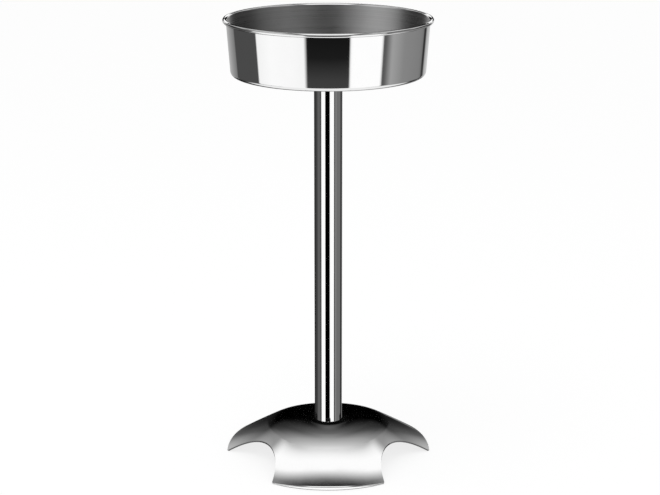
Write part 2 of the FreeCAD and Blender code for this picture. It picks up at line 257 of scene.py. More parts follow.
def base_profile():
    """Start and steps of the show face down the middle of a foot, to below the floor.

    The flank's chord reaches the foot's edge and passes the shoulder's centre at the
    shoulder's radius times the cosine of half the flank's bend. That settles its slope.
    """
    half = FLANK_BEND / 2
    crown_reach = CROWN_RADIUS - CROWN_LAND_RADIUS
    crown_radius = crown_reach / math.sin(CROWN_FALL)
    brow_height = CROWN_HEIGHT - crown_radius * (1 - math.cos(CROWN_FALL))
    reach = BASE_RADIUS - CROWN_RADIUS + SHOULDER_RADIUS * math.sin(CROWN_FALL)
    rise = FOOT_EDGE_HEIGHT - brow_height + SHOULDER_RADIUS * math.cos(CROWN_FALL)
    slope = (math.asin(SHOULDER_RADIUS * math.cos(half) / math.hypot(reach, rise))
             - math.atan2(rise, reach))
    shoulder = slope - half
    flank_reach = reach - SHOULDER_RADIUS * math.sin(shoulder)
    flank = flank_reach / math.cos(slope) * half / math.sin(half)
    end = (FOOT_EDGE_HEIGHT + 2 * BASE_SHEET) / math.sin(slope + half)
    return (CROWN_LAND_RADIUS, CROWN_HEIGHT), [
        bend(crown_radius, -CROWN_FALL),
        bend(SHOULDER_RADIUS, CROWN_FALL - shoulder),
        (flank, -2 * half),
        straight(end),
    ]


def pressed_height(radius, off_middle, depth):
    """Height and outward normal of the pressed form, or of a face that much deeper.

    At an angle a off a foot's middle the height is F(r c(a)), where F is the profile and
    c(a) = 1 + k (1 - cos 3a) / 2. So its slope is F' c outwards and F' dc/da sideways.
    """
    start, steps = base_profile()
    along = np.linspace(0, sum(length for length, _ in steps), PROFILE_POINTS)
    path, left = trace(start, steps, along)
    path = path - left * depth
    c = 1 + FOOT_ARCH * (1 - np.cos(FOOT_COUNT * off_middle)) / 2
    across = FOOT_ARCH * FOOT_COUNT * np.sin(FOOT_COUNT * off_middle) / 2
    height = np.interp(radius * c, path[:, 0], path[:, 1])
    slope = np.interp(radius * c, path[:, 0], -left[:, 0] / left[:, 1])
    normal = np.stack([-slope * c, -slope * across, np.ones_like(slope)], axis=-1)
    return height, normal / np.linalg.norm(normal, axis=-1, keepdims=True)


BITE_CENTRE = WAIST_RADIUS + BITE_RADIUS
TOE_CENTRE = BASE_RADIUS - TOE_RADIUS
TOE_AZIMUTH = math.acos((BITE_CENTRE ** 2 + TOE_CENTRE ** 2 - (BITE_RADIUS + TOE_RADIUS) ** 2)
                        / (2 * BITE_CENTRE * TOE_CENTRE))
toe_point = np.array([TOE_CENTRE * math.cos(TOE_AZIMUTH), TOE_CENTRE * math.sin(TOE_AZIMUTH)])
toe_start = toe_point + (np.array([BITE_CENTRE, 0]) - toe_point) * TOE_RADIUS / (
    BITE_RADIUS + TOE_RADIUS)
TOE_START_RADIUS = float(np.hypot(*toe_start))


def half_foot(radius):
    """Half of the angle that a foot covers at a radius.

    It is 60 degrees up to the waist. Beyond it, the bite takes away the angle b with
    cos b = (c^2 + r^2 - q^2) / (2 c r), for a bite of radius q centred at c, and close
    to the rim the toe's own circle takes over from the bite's.
    """
    radius = np.maximum(radius, WAIST_RADIUS)
    bite = np.arccos(np.clip((BITE_CENTRE ** 2 + radius ** 2 - BITE_RADIUS ** 2)
                             / (2 * BITE_CENTRE * radius), -1, 1))
    toe = TOE_AZIMUTH - np.arccos(np.clip(
        (radius ** 2 + TOE_CENTRE ** 2 - TOE_RADIUS ** 2) / (2 * radius * TOE_CENTRE), -1, 1))
    return math.pi / FOOT_COUNT - np.where(radius > TOE_START_RADIUS, toe, bite)


def rim_radius(side, limit, depth):
    """Where a face of the sheet ends: at the limit, or where it meets the lip's lower edge.

    Each round goes 0.7 of the way to where the face's slope would meet that edge.
    """
    radius = np.full(side.shape, limit)
    for _ in range(RIM_ROUNDS):
        height, normal = pressed_height(radius, side * half_foot(radius), depth)
        fall = normal[..., 0] / normal[..., 2]
        radius = np.minimum(limit, radius + RIM_STRIDE * (height - FLOOR_CLEARANCE) / fall)
    return radius


def foot_face(side, depth, limit):
    """Radius, height, angle off the foot's middle and normal of one face of the sheet.

    The rows run from the bolt hole past the waist to the rim. side goes from -1 to 1
    across the foot.
    """
    end = rim_radius(side, limit, depth)
    radius = np.concatenate([INNER_RADII[:, None] + 0 * side,
                             WAIST_RADIUS + OUTER_SHARES * (end - WAIST_RADIUS)])
    off_middle = side * half_foot(radius)
    height, normal = pressed_height(radius, off_middle, depth)
    return radius, height, off_middle, normal


def show_face(side):
    """The upper face with the round bend into the lip and the lip's outer side.

    In the upright plane of each column the sheet falls at an angle p where the bend
    starts. The bend is the arc r = R - e + e sin t, z = h + e cos t for t from p to 90
    degrees, cut off where it comes down to the lip's lower edge. The fall depends on the
    radius where the bend starts, and the other way round, so the two are found in turns.
    """
    ease = EDGE_BEND_RADIUS
    limit = np.full(side.shape, BASE_RADIUS)
    for _ in range(BEND_ROUNDS):
        height, normal = pressed_height(limit, side * half_foot(limit), 0)
        fall = np.arctan2(normal[..., 0], normal[..., 2])
        limit = BASE_RADIUS - ease * (1 - np.sin(fall))
    start = rim_radius(side, limit, 0)
    radius, height, off_middle, normal = foot_face(side, 0, start)
    fall = np.arctan2(normal[-1, :, 0], normal[-1, :, 2])
    sideways = normal[-1, :, 1]
    centre_radius = start - ease * np.sin(fall)
    centre_height = height[-1] - ease * np.cos(fall)
    stop = np.arccos(np.clip((FLOOR_CLEARANCE - centre_height) / ease, 0, 1))
    stop = np.maximum(stop, fall)
    turn = fall + (stop - fall) * np.linspace(0, 1, BEND_ROWS + 1)[1:, None]
    turn = np.vstack([turn, turn[-1:]])
    lip_radius = centre_radius + ease * np.sin(turn)
    lip_height = np.maximum(centre_height + ease * np.cos(turn), FLOOR_CLEARANCE)
    lip_height[-1] = FLOOR_CLEARANCE
    fade = np.clip((stop - turn) / np.maximum(stop - fall, 1e-6), 0, 1)
    lip_normal = np.stack([np.sin(turn), sideways * fade, np.cos(turn)], axis=-1)
    lip_normal /= np.linalg.norm(lip_normal, axis=-1, keepdims=True)
    radius = np.vstack([radius, lip_radius])
    off_middle = np.vstack([off_middle, side * half_foot(lip_radius)])
    height = np.vstack([height, lip_height])
    return radius, height, off_middle, np.concatenate([normal, lip_normal])


def turned_vectors(vectors, azimuth):
    """Vectors given outwards, sideways and up, turned to an azimuth."""
    out, side, up = vectors[..., 0], vectors[..., 1], vectors[..., 2]
    return np.stack([out * np.cos(azimuth) - side * np.sin(azimuth),
                     out * np.sin(azimuth) + side * np.cos(azimuth), up], axis=-1)


def pressed_base():
    """Grids of the base's two faces, its lip, its cut edges and its hole, foot by foot."""
    side = np.linspace(-1, 1, FOOT_COLUMNS)
    radius, height, off_middle, normal = show_face(side)
    under = foot_face(side, BASE_SHEET, np.full(side.shape, BASE_RADIUS - BASE_SHEET))
    lip_wall = np.linspace(0, 1, len(radius) - len(under[0]) + 1)[:, None]
    wall_radius = under[0][-1] + 0 * lip_wall
    wall_height = under[1][-1] + (FLOOR_CLEARANCE - under[1][-1]) * lip_wall
    wall_angle = under[2][-1] + 0 * lip_wall
    inward = np.broadcast_to([-1.0, 0, 0], (*wall_radius.shape, 3))
    downward = np.broadcast_to([0, 0, -1.0], (2, FOOT_COLUMNS, 3))
    waist = len(INNER_RADII) - 1
    grids = []
    for foot in FOOT_AZIMUTHS:
        above = around(radius, height, foot + off_middle)
        below = around(under[0], under[1], foot + under[2])
        wall = around(wall_radius, wall_height, foot + wall_angle)
        hole = np.stack([above[0], below[0]])
        facing_in = turned_vectors(inward[:2], foot + off_middle[:1])
        grids += [
            (above, turned_vectors(normal, foot + off_middle), 0),
            (below, -turned_vectors(under[3], foot + under[2]), 1),
            (wall, turned_vectors(inward, foot + wall_angle), 1),
            (np.stack([above[-1], wall[-1]]), downward, 0),
            (hole, facing_in, 1),
        ]
        inside = np.concatenate([below, wall[1:]])
        for edge in (0, -1):
            cut = np.stack([above[waist:, edge], inside[waist:, edge]], axis=1)
            far = np.hypot(cut[..., 0], cut[..., 1])
            end = 1 if edge else -1
            bite = around(BITE_CENTRE, 0, foot + end * math.pi / FOOT_COUNT) - cut
            toe = cut - around(TOE_CENTRE, 0,
                               foot + end * (math.pi / FOOT_COUNT - TOE_AZIMUTH))
            outward = np.where((far > TOE_START_RADIUS)[..., None], toe, bite)
            outward[..., 2] = 0
            outward /= np.linalg.norm(outward, axis=-1, keepdims=True)
            grids.append((cut, outward, 0))
    return grids


def math_node(nodes, links, operation, *values):
    """The result of a Math node whose inputs are sockets or numbers."""
    node = nodes.new("ShaderNodeMath")
    node.operation = operation
    for socket, value in zip(node.inputs, values):
        if isinstance(value, (int, float)):
            socket.default_value = value
        else:
            links.new(value, socket)
    return node.outputs["Value"]


def mapped(nodes, links, value, span, result):
    """A value mapped evenly, so that the span's two ends give the two results."""
    node = nodes.new("ShaderNodeMapRange")
    node.inputs["From Min"].default_value, node.inputs["From Max"].default_value = span
    node.inputs["To Min"].default_value, node.inputs["To Max"].default_value = result
    links.new(value, node.inputs["Value"])
    return node.outputs["Result"]


def mirror_steel(name, waviness):
    """Mirror-polished stainless steel with faint polishing haze and slight waviness."""
    material, nodes, links, shader = new_material(name)
    shader.inputs["Metallic"].default_value = 1
    place = nodes.new("ShaderNodeTexCoord").outputs["Object"]
    haze = noise(nodes, links, place, scale=55, detail=5)
    gloss = mapped(nodes, links, haze, span=(0.3, 0.75), result=(0.03, 0.066))
    links.new(gloss, shader.inputs["Roughness"])
    tone = colour_ramp(nodes, links, haze, [(0.0, 0.97), (1.0, 1.0)])
    links.new(tone, shader.inputs["Base Color"])
    wave = noise(nodes, links, place, scale=14, detail=1)
    relief(nodes, links, shader, wave, strength=waviness, distance=0.3 * MM)
    return material


def brushed_steel(name, grain=900, tones=(0.42, 0.62), roughness=(0.28, 0.42)):
    """Stainless steel with fine rings of grain about the pole's axis, as turning leaves it.

    The grain is noise read at (distance from the axis, height), so it is round everywhere.
    """
    material, nodes, links, shader = new_material(name)
    shader.inputs["Metallic"].default_value = 1
    shader.inputs["Anisotropic"].default_value = 0.5
    place = nodes.new("ShaderNodeTexCoord").outputs["Object"]
    split = nodes.new("ShaderNodeSeparateXYZ")
    flat = nodes.new("ShaderNodeCombineXYZ")
    distance = nodes.new("ShaderNodeVectorMath")
    distance.operation = "LENGTH"
    rings = nodes.new("ShaderNodeCombineXYZ")
    links.new(place, split.inputs["Vector"])
    links.new(split.outputs["X"], flat.inputs["X"])
    links.new(split.outputs["Y"], flat.inputs["Y"])
    links.new(flat.outputs["Vector"], distance.inputs[0])
    links.new(distance.outputs["Value"], rings.inputs["X"])
    links.new(split.outputs["Z"], rings.inputs["Y"])
    fine = noise(nodes, links, rings.outputs["Vector"], scale=grain, detail=3)
    cloud = noise(nodes, links, place, scale=16, detail=3)
    mixed = math_node(nodes, links, "ADD", fine, cloud)
    for socket, result in (("Base Color", tones), ("Roughness", roughness)):
        links.new(mapped(nodes, links, mixed, (0.7, 1.3), result), shader.inputs[socket])
    return material


base_mirror = mirror_steel("base_mirror_polish", waviness=0.15)
base_hollow = brushed_steel("base_hollow_grain")
base = polished("pressed_base", pressed_base(), [base_mirror, base_hollow])
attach(base, "root")
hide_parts("base_shell")
base.visible_glossy = False


# ======== stiffener, washers and bolt under the crown ========
# A thick steel disc, a flat washer and a split spring washer lie under the thin crown, and
# one hexagon bolt goes up through them into the plug in the pole. The other turned pieces,
# which are the pole's plugs and the disc, washers and screw of the pan, are finished alike.

turned_steel = brushed_steel("turned_steel", grain=2500)
for node in ("base_stiffener", "base_washer", "base_spring_washer", "base_bolt",
             "pole_bottom_plug", "pole_top_plug", "pan_support_disc", "pan_washer",
             "pan_spring_washer", "pan_screw"):
    finish_node(node, turned_steel)
    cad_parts[node].visible_glossy = False


# ======== pole ========
# Plain round stainless tube, 32 mm across with a 1.2 mm wall, cut square, with the burr
# taken off both ends. Polished along its length to a mirror.

pole_low, pole_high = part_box("pole_tube")
POLE_RADIUS = 16 * MM
POLE_WALL = 1.2 * MM
POLE_END_CHAMFER = 0.4 * MM
POLE_COLUMNS = 192
CREASE = math.radians(30)


def turned_tube(name, outline, columns, material):
    """A closed piece of revolution, smooth but for its creases.

    Its points are (r cos a, r sin a, z) for every point (r, z) of the closed outline and
    every azimuth a.
    """
    loop = np.vstack([outline, outline[:1]])
    grid = around(loop[:, :1], loop[:, 1:], np.linspace(0, TURN, columns + 1)[None, :])
    points = grid.reshape(-1, 3)
    kept, same = same_points(points)
    piece = new_piece(name, points[kept], same[grid_faces(*grid.shape[:2])].tolist(), material)
    mesh = piece.data
    work = bmesh.new()
    work.from_mesh(mesh)
    bmesh.ops.recalc_face_normals(work, faces=work.faces)
    work.to_mesh(mesh)
    work.free()
    mesh.polygons.foreach_set("use_smooth", np.ones(len(mesh.polygons), bool))
    mesh.set_sharp_from_angle(angle=CREASE)
    return piece


pole_outline = np.array([
    (POLE_RADIUS - POLE_WALL, pole_low.z),
    (POLE_RADIUS - POLE_END_CHAMFER, pole_low.z),
    (POLE_RADIUS, pole_low.z + POLE_END_CHAMFER),
    (POLE_RADIUS, pole_high.z - POLE_END_CHAMFER),
    (POLE_RADIUS - POLE_END_CHAMFER, pole_high.z),
    (POLE_RADIUS - POLE_WALL, pole_high.z),
])
pole = turned_tube("pole", pole_outline, POLE_COLUMNS,
                   mirror_steel("pole_mirror_polish", waviness=0.1))
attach(pole, "root")
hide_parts("pole_tube")
pole.visible_glossy = False


# ======== bucket pan ========
# Drawn from 0.9 mm stainless sheet: a flat floor with a pressed recess for the screw, a
# leaning wall and a rolled rim. Mirror-polished outside, satin with round grain inside.

PAN_SHEET = 0.9 * MM
PAN_RIM_RADIUS = 117.49 * MM
PAN_HEIGHT = 63.5 * MM
PAN_TOP = 516 * MM
PAN_CORNER_RADIUS = 5 * MM
PAN_WALL_TAPER = math.radians(4.2)
RIM_ROLL_RADIUS = 2.35 * MM
RIM_ROLL_TURN = math.radians(285)
RECESS_RADIUS = 38 * MM
RECESS_DEPTH = 9.5 * MM
RECESS_WALL_ANGLE = math.radians(60)
RECESS_BEND_RADIUS = 3 * MM
PAN_SCREW_HOLE_RADIUS = 4.3 * MM
PAN_COLUMNS = 240
PAN_PARTS = (2, 8, 3, 8, 10, 14, 12, 48)
NEARLY = 1e-8


def spaced(steps, counts):
    """Distances along a path that split each step into a count of equal parts."""
    ends = np.concatenate([[0], np.cumsum([length for length, _ in steps])])
    parts = [np.linspace(a, b, n + 1) for a, b, n in zip(ends, ends[1:], counts)]
    return np.unique(np.round(np.concatenate(parts), 9))


def pan_path():
    """Start and steps of the pan's outer face, from the screw hole to the roll's end."""
    inside_roll = RIM_ROLL_RADIUS - PAN_SHEET
    heading = math.pi / 2 - PAN_WALL_TAPER
    end_radius = PAN_RIM_RADIUS - RIM_ROLL_RADIUS - inside_roll * math.cos(PAN_WALL_TAPER)
    end_height = PAN_TOP - RIM_ROLL_RADIUS + inside_roll * math.sin(PAN_WALL_TAPER)
    underside = PAN_TOP - PAN_HEIGHT
    corner_rise = PAN_CORNER_RADIUS * (1 - math.cos(heading))
    wall = (end_height - underside - corner_rise) / math.sin(heading)
    floor_radius = (end_radius - wall * math.cos(heading)
                    - PAN_CORNER_RADIUS * math.sin(heading))
    bends_rise = 2 * RECESS_BEND_RADIUS * (1 - math.cos(RECESS_WALL_ANGLE))
    slope = (RECESS_DEPTH - bends_rise) / math.sin(RECESS_WALL_ANGLE)
    flat = (RECESS_RADIUS - 2 * RECESS_BEND_RADIUS * math.sin(RECESS_WALL_ANGLE)
            - slope * math.cos(RECESS_WALL_ANGLE))
    steps = [
        straight(flat - PAN_SCREW_HOLE_RADIUS),
        bend(RECESS_BEND_RADIUS, RECESS_WALL_ANGLE),
        straight(slope),
        bend(RECESS_BEND_RADIUS, -RECESS_WALL_ANGLE),
        straight(floor_radius - RECESS_RADIUS),
        bend(PAN_CORNER_RADIUS, heading),
        straight(wall),
        bend(inside_roll, -RIM_ROLL_TURN),
    ]
    return (PAN_SCREW_HOLE_RADIUS, underside - RECESS_DEPTH), steps


def revolved(profile, normal):
    """Surface of revolution: (r cos a, r sin a, z) for every point (r, z) and azimuth a."""
    azimuth = np.linspace(0, TURN, PAN_COLUMNS + 1)[None, :]
    azimuth = np.where(azimuth == TURN, 0, azimuth)
    return (around(profile[:, :1], profile[:, 1:], azimuth),
            around(normal[:, :1], normal[:, 1:], azimuth))


def drawn_pan():
    """Grids of the pan's outer face, its inner face, the roll and the two sheet edges."""
    start, steps = pan_path()
    along = spaced(steps, PAN_PARTS)
    outer, left = trace(start, steps, along)
    inner = outer + left * PAN_SHEET
    roll = np.searchsorted(along, sum(length for length, _ in steps[:-1]) - NEARLY)
    hole = np.array([outer[0], inner[0]])
    sheet_end = np.array([outer[-1], inner[-1]])
    forward = np.array([left[-1, 1], -left[-1, 0]])
    return [
        (*revolved(outer, -left), 0),
        (*revolved(inner[:roll + 1], left[:roll + 1]), 1),
        (*revolved(inner[roll:], left[roll:]), 0),
        (*revolved(hole, np.array([[-1.0, 0]] * 2)), 1),
        (*revolved(sheet_end, np.array([forward] * 2)), 0),
    ]


pan_mirror = mirror_steel("pan_mirror_polish", waviness=0.35)
pan_satin = brushed_steel("pan_satin_inside", grain=1400, tones=(0.5, 0.68),
                          roughness=(0.26, 0.34))
pan = polished("drawn_pan", drawn_pan(), [pan_mirror, pan_satin])
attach(pan, "root")
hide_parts("bucket_pan")
pan.visible_glossy = False


# ======== floor ========
# A wide pale floor, not part of the stand. It is mostly an even white, and keeps the
# stand's soft shadow.

FLOOR_HALF = 6.0
FLOOR_TONE = 0.94
EVEN_SHARE = 0.8


def pale_floor():
    """White floor: to the camera an even white, mixed with a share of the true shading."""
    material, nodes, links, _ = new_material("pale_floor")
    nodes.clear()
    shaded = nodes.new("ShaderNodeBsdfDiffuse")
    shaded.inputs["Color"].default_value = (FLOOR_TONE, FLOOR_TONE, FLOOR_TONE, 1)
    even = nodes.new("ShaderNodeEmission")
    rays = nodes.new("ShaderNodeLightPath")
    share = math_node(nodes, links, "MULTIPLY", rays.outputs["Is Camera Ray"], EVEN_SHARE)
    mix = nodes.new("ShaderNodeMixShader")
    out = nodes.new("ShaderNodeOutputMaterial")
    links.new(share, mix.inputs["Fac"])
    links.new(shaded.outputs["BSDF"], mix.inputs[1])
    links.new(even.outputs["Emission"], mix.inputs[2])
    links.new(mix.outputs["Shader"], out.inputs["Surface"])
    return material


floor_corners = FLOOR_HALF * np.array([(-1, -1, 0), (1, -1, 0), (1, 1, 0), (-1, 1, 0)])
floor = new_piece("floor", floor_corners, [[0, 1, 2, 3]], pale_floor())
floor.visible_glossy = False


# ======== surroundings that the mirror shows ========
# The studio round the stand, seen only in its polish: a dark wall behind, a white card
# overhead, dim panels at the sides, grey cloth in front and upright bands lower down. The
# camera sees plain white, and diffuse pieces get an even soft light.

SOFT_LEVEL = 0.95


def turn_share(value):
    """An angle in degrees as a share of a whole turn, with 0.5 for none."""
    return value / 360 + 0.5


def angle_stops(tones):
    """Stops of a ramp from a list of (angle in degrees, tone)."""
    return [(turn_share(angle), tone) for angle, tone in tones]


def band_stops(bands, edge):
    """Stops of a ramp from bands of even tone with a soft edge, in degrees, between them."""
    stops = [(0, bands[0][1])]
    for (_, before), (bearing, tone) in zip(bands, bands[1:]):
        stops.append((turn_share(bearing - edge / 2), before))
        stops.append((turn_share(bearing + edge / 2), tone))
    return stops + [(1, bands[-1][1])]


def turn_node(nodes, links, sine, cosine):
    """The angle of (cosine, sine) as a share of a whole turn, 0.5 along the cosine axis."""
    angle = math_node(nodes, links, "ARCTAN2", sine, cosine)
    return math_node(nodes, links, "MULTIPLY_ADD", angle, 1 / TURN, 0.5)


def negative(nodes, links, value):
    """The value with its sign turned."""
    return math_node(nodes, links, "MULTIPLY", value, -1)


def colour_mix(nodes, links, share, first, second, blend="MIX"):
    """The first colour, mixed with the second by a share from 0 to 1."""
    node = nodes.new("ShaderNodeMix")
    node.data_type = "RGBA"
    node.blend_type = blend
    node.clamp_result = blend == "ADD"
    for socket, value in (("Factor", share), ("A", first), ("B", second)):
        if not isinstance(value, float):
            links.new(value, node.inputs[socket])
        elif socket == "Factor":
            node.inputs[socket].default_value = value
        else:
            node.inputs[socket].default_value = (value, value, value, 1)
    return node.outputs["Result"]


def soft_step(nodes, links, value, span):
    """A share that eases from 0 at the span's first end to 1 at its second."""
    node = nodes.new("ShaderNodeMapRange")
    node.interpolation_type = "SMOOTHSTEP"
    node.inputs["From Min"].default_value, node.inputs["From Max"].default_value = span
    links.new(value, node.inputs["Value"])
    return node.outputs["Result"]


def window(nodes, links, *sides):
    """The product of soft steps, each given as (value, span): 1 inside all of them."""
    inside = 1.0
    for value, span in sides:
        step = soft_step(nodes, links, value, span)
        inside = math_node(nodes, links, "MULTIPLY", step, inside)
    return inside


world = bpy.data.worlds.new("studio")
bpy.context.scene.world = world
world.use_nodes = True
nodes, links = world.node_tree.nodes, world.node_tree.links
nodes.clear()
direction = nodes.new("ShaderNodeTexCoord")
axes = nodes.new("ShaderNodeSeparateXYZ")
links.new(direction.outputs["Generated"], axes.inputs["Vector"])
sideways, back, up = (axes.outputs[axis] for axis in "XYZ")
width = math_node(nodes, links, "ABSOLUTE", sideways)
climb = math_node(nodes, links, "ARCTAN2", up, back)
climb = math_node(nodes, links, "DEGREES", climb)

# Behind the stand and overhead, a wall that brightens from black at its foot, with its
# tones by the climb in degrees. They hang lower at the sides, by up to the sag in degrees.
WALL_TONES = [
    (-180, 0.0), (22.5, 0.0), (24.5, 0.01), (27, 0.06), (30.5, 0.115), (36, 0.175),
    (48, 0.265), (61, 0.405), (73, 0.565), (83, 0.755), (90, 0.775),
]
WALL_SAG = 10.5
SAG_SIDES = [(0.0, 0.0), (0.03, 0.05), (0.1, 0.68), (0.16, 0.92), (0.24, 1.0), (0.3, 1.0),
             (0.4, 0.95), (0.5, 0.5), (0.56, 0.0)]
SAG_FOOT, SAG_TOP = (21, 40), (56, 41)
sag_side = colour_ramp(nodes, links, width, SAG_SIDES)
sag = window(nodes, links, (climb, SAG_FOOT), (climb, SAG_TOP))
sag = math_node(nodes, links, "MULTIPLY", sag, sag_side)
hung = math_node(nodes, links, "MULTIPLY_ADD", sag, -WALL_SAG, climb)

# Its foot has a paler gap straight behind the pole.
GAP_LIFT = 5
GAP_FOOT, GAP_TOP, GAP_SIDE = (21.9, 22.6), (30, 24), (0.03, 0.0)
gap = window(nodes, links, (climb, GAP_FOOT), (climb, GAP_TOP), (width, GAP_SIDE))
hung = math_node(nodes, links, "MULTIPLY_ADD", gap, GAP_LIFT, hung)
hung_share = math_node(nodes, links, "MULTIPLY_ADD", hung, 1 / 360, 0.5)
wall = colour_ramp(nodes, links, hung_share, angle_stops(WALL_TONES))

# Above, a white card with soft edges hangs on a slant. Its tones go by the distance d of
# the directions with y + 1.21 z = d.
CARD_TONES = [
    (-1.3, 0.5), (-0.3, 0.2), (0.9, 0.06), (1.2, 0.012), (1.236, 0.02), (1.247, 0.11),
    (1.255, 0.29), (1.262, 0.54), (1.274, 1.0), (1.307, 1.0), (1.332, 0.59), (1.6, 0.59),
]
CARD_SLANT = 1.21
CARD_START, CARD_SPAN = -1.6, 3.2
CARD_END, CARD_FOOT = (1.335, 1.32), (46, 60)
slanted = math_node(nodes, links, "MULTIPLY_ADD", up, CARD_SLANT, back)
card_share = math_node(nodes, links, "MULTIPLY_ADD", slanted, 1 / CARD_SPAN,
                       -CARD_START / CARD_SPAN)
card_tone = colour_ramp(nodes, links, card_share,
                        [((d - CARD_START) / CARD_SPAN, tone) for d, tone in CARD_TONES])
over = window(nodes, links, (slanted, CARD_END), (climb, CARD_FOOT))
arch = colour_mix(nodes, links, over, wall, card_tone)

# Dim panels at both sides add to it. Their tones go by the distance beyond their inner
# edges, which follow |x| = 0.62 z - 0.3 z^2, and they are dimmest halfway up.
SIDE_TONES = [
    (0.1, 0.0), (0.25, 0.012), (0.27, 0.035), (0.292, 0.1), (0.345, 0.66), (0.45, 0.7),
    (0.52, 0.25), (0.6, 0.04), (1.0, 0.02),
]
PANEL_LEAN, PANEL_CURVE = 0.62, 0.3
PANEL_DIMMING = 0.4
DIM_FOOT, DIM_TOP = (5, 26), (70, 53)
edge = math_node(nodes, links, "MULTIPLY_ADD", up, PANEL_CURVE, -PANEL_LEAN)
beyond = math_node(nodes, links, "MULTIPLY_ADD", up, edge, width)
dimmed = window(nodes, links, (climb, DIM_FOOT), (climb, DIM_TOP))
dimmed = math_node(nodes, links, "MULTIPLY_ADD", dimmed, -PANEL_DIMMING, 1.0)
panels = colour_ramp(nodes, links, beyond, SIDE_TONES)
panels = math_node(nodes, links, "MULTIPLY", panels, dimmed)
both = colour_mix(nodes, links, 1.0, arch, panels, blend="ADD")

# High in front, a narrow white light.
FRONT_LIGHT_BACK, FRONT_LIGHT_SIDE = (-0.10, -0.16), (0.45, 0.3)
front_light = window(nodes, links, (back, FRONT_LIGHT_BACK), (width, FRONT_LIGHT_SIDE))
overhead = colour_mix(nodes, links, front_light, both, 1.0)

# In front, level with the stand, grey cloth that is brightest to one side. Its tones go
# by the bearing in degrees, which is 0 towards -Y.
CLOTH_TONES = [
    (-180, 0.03), (-120, 0.04), (-101, 0.12), (-77, 0.5), (-66, 0.56), (-56, 0.54),
    (-37, 0.32), (-18, 0.1), (0, 0.06), (18, 0.08), (45, 0.18), (60, 0.2), (75, 0.13),
    (118, 0.04), (180, 0.03),
]
CLOTH_CURVE = 0.45
CLOTH_BACK, CLOTH_TOP = (-0.30, -0.45), (0.5, 0.4)
bearing = turn_node(nodes, links, sideways, negative(nodes, links, back))
cloth = colour_ramp(nodes, links, bearing, angle_stops(CLOTH_TONES))
fronting = math_node(nodes, links, "MULTIPLY_ADD", width, -CLOTH_CURVE, back)
facing = window(nodes, links, (fronting, CLOTH_BACK), (up, CLOTH_TOP))
level = colour_mix(nodes, links, facing, overhead, cloth)

# Below that, upright panels and flags all round, as (bearing where a band starts, tone),
# and below those the white floor.
POLE_BANDS = [
    (-180, 0.02), (-140, 0.035), (-116, 0.055), (-98, 0.11), (-71, 0.06), (-58, 1.0),
    (-25, 0.0), (13, 1.0), (48, 0.06), (60, 0.24), (70, 0.15), (119, 0.03), (148, 0.2),
]
BAND_EDGE = 1.5
BANDS_TOP = (-0.15, -0.17)
FLOOR_EDGE, FLOOR_BACK = (-0.45, -0.6), (0.6, 0.35)
WHITE_FLOOR_TONE = 0.85
bands = colour_ramp(nodes, links, bearing, band_stops(POLE_BANDS, BAND_EDGE))
striped = colour_mix(nodes, links, soft_step(nodes, links, up, BANDS_TOP), level, bands)
white_floor = window(nodes, links, (up, FLOOR_EDGE), (back, FLOOR_BACK))
mirrored = colour_mix(nodes, links, white_floor, striped, WHITE_FLOOR_TONE)

rays = nodes.new("ShaderNodeLightPath")
lit = colour_mix(nodes, links, rays.outputs["Is Glossy Ray"], SOFT_LEVEL, mirrored)
seen = colour_mix(nodes, links, rays.outputs["Is Camera Ray"], lit, 1.0)
sky = nodes.new("ShaderNodeBackground")
links.new(seen, sky.inputs["Color"])
out = nodes.new("ShaderNodeOutputWorld")
links.new(sky.outputs["Background"], out.inputs["Surface"])


# ======== flags and cards close to the stand ========
# Strips of card and a disc that each show in the polish of the piece beside them and
# nowhere else: they give it other bands than the studio gives the rest.


def near_glow(name, reach, tone=1.0, bands=None):
    """A glow for rays shorter than the reach, and nothing for longer ones.

    The bands, if given, make the glow's colour socket from the material's nodes and links,
    in place of the even tone.
    """
    material, nodes, links, _ = new_material(name)
    nodes.clear()
    rays = nodes.new("ShaderNodeLightPath")
    far = math_node(nodes, links, "GREATER_THAN", rays.outputs["Ray Length"], reach)
    glow = nodes.new("ShaderNodeEmission")
    glow.inputs["Color"].default_value = (tone, tone, tone, 1)
    if bands:
        links.new(bands(nodes, links), glow.inputs["Color"])
    clear = nodes.new("ShaderNodeBsdfTransparent")
    mix = nodes.new("ShaderNodeMixShader")
    links.new(far, mix.inputs["Fac"])
    links.new(glow.outputs["Emission"], mix.inputs[1])
    links.new(clear.outputs["BSDF"], mix.inputs[2])
    out = nodes.new("ShaderNodeOutputMaterial")
    links.new(mix.outputs["Shader"], out.inputs["Surface"])
    return material


def close_card(name, radii, heights, span, columns, material):
    """A strip (r cos t, r sin t, z) from one radius and height to another.

    It runs over a span of azimuths t in degrees. Only reflected rays see it, so it neither
    shows nor lights or shades anything.
    """
    turn = np.radians(np.linspace(*span, columns))[None, :]
    grid = around(np.array(radii)[:, None], np.array(heights)[:, None], turn)
    card = new_piece(name, grid.reshape(-1, 3), grid_faces(2, columns).tolist(), material)
    card.visible_camera = card.visible_diffuse = False
    card.visible_shadow = card.visible_transmission = False
    card.visible_volume_scatter = False


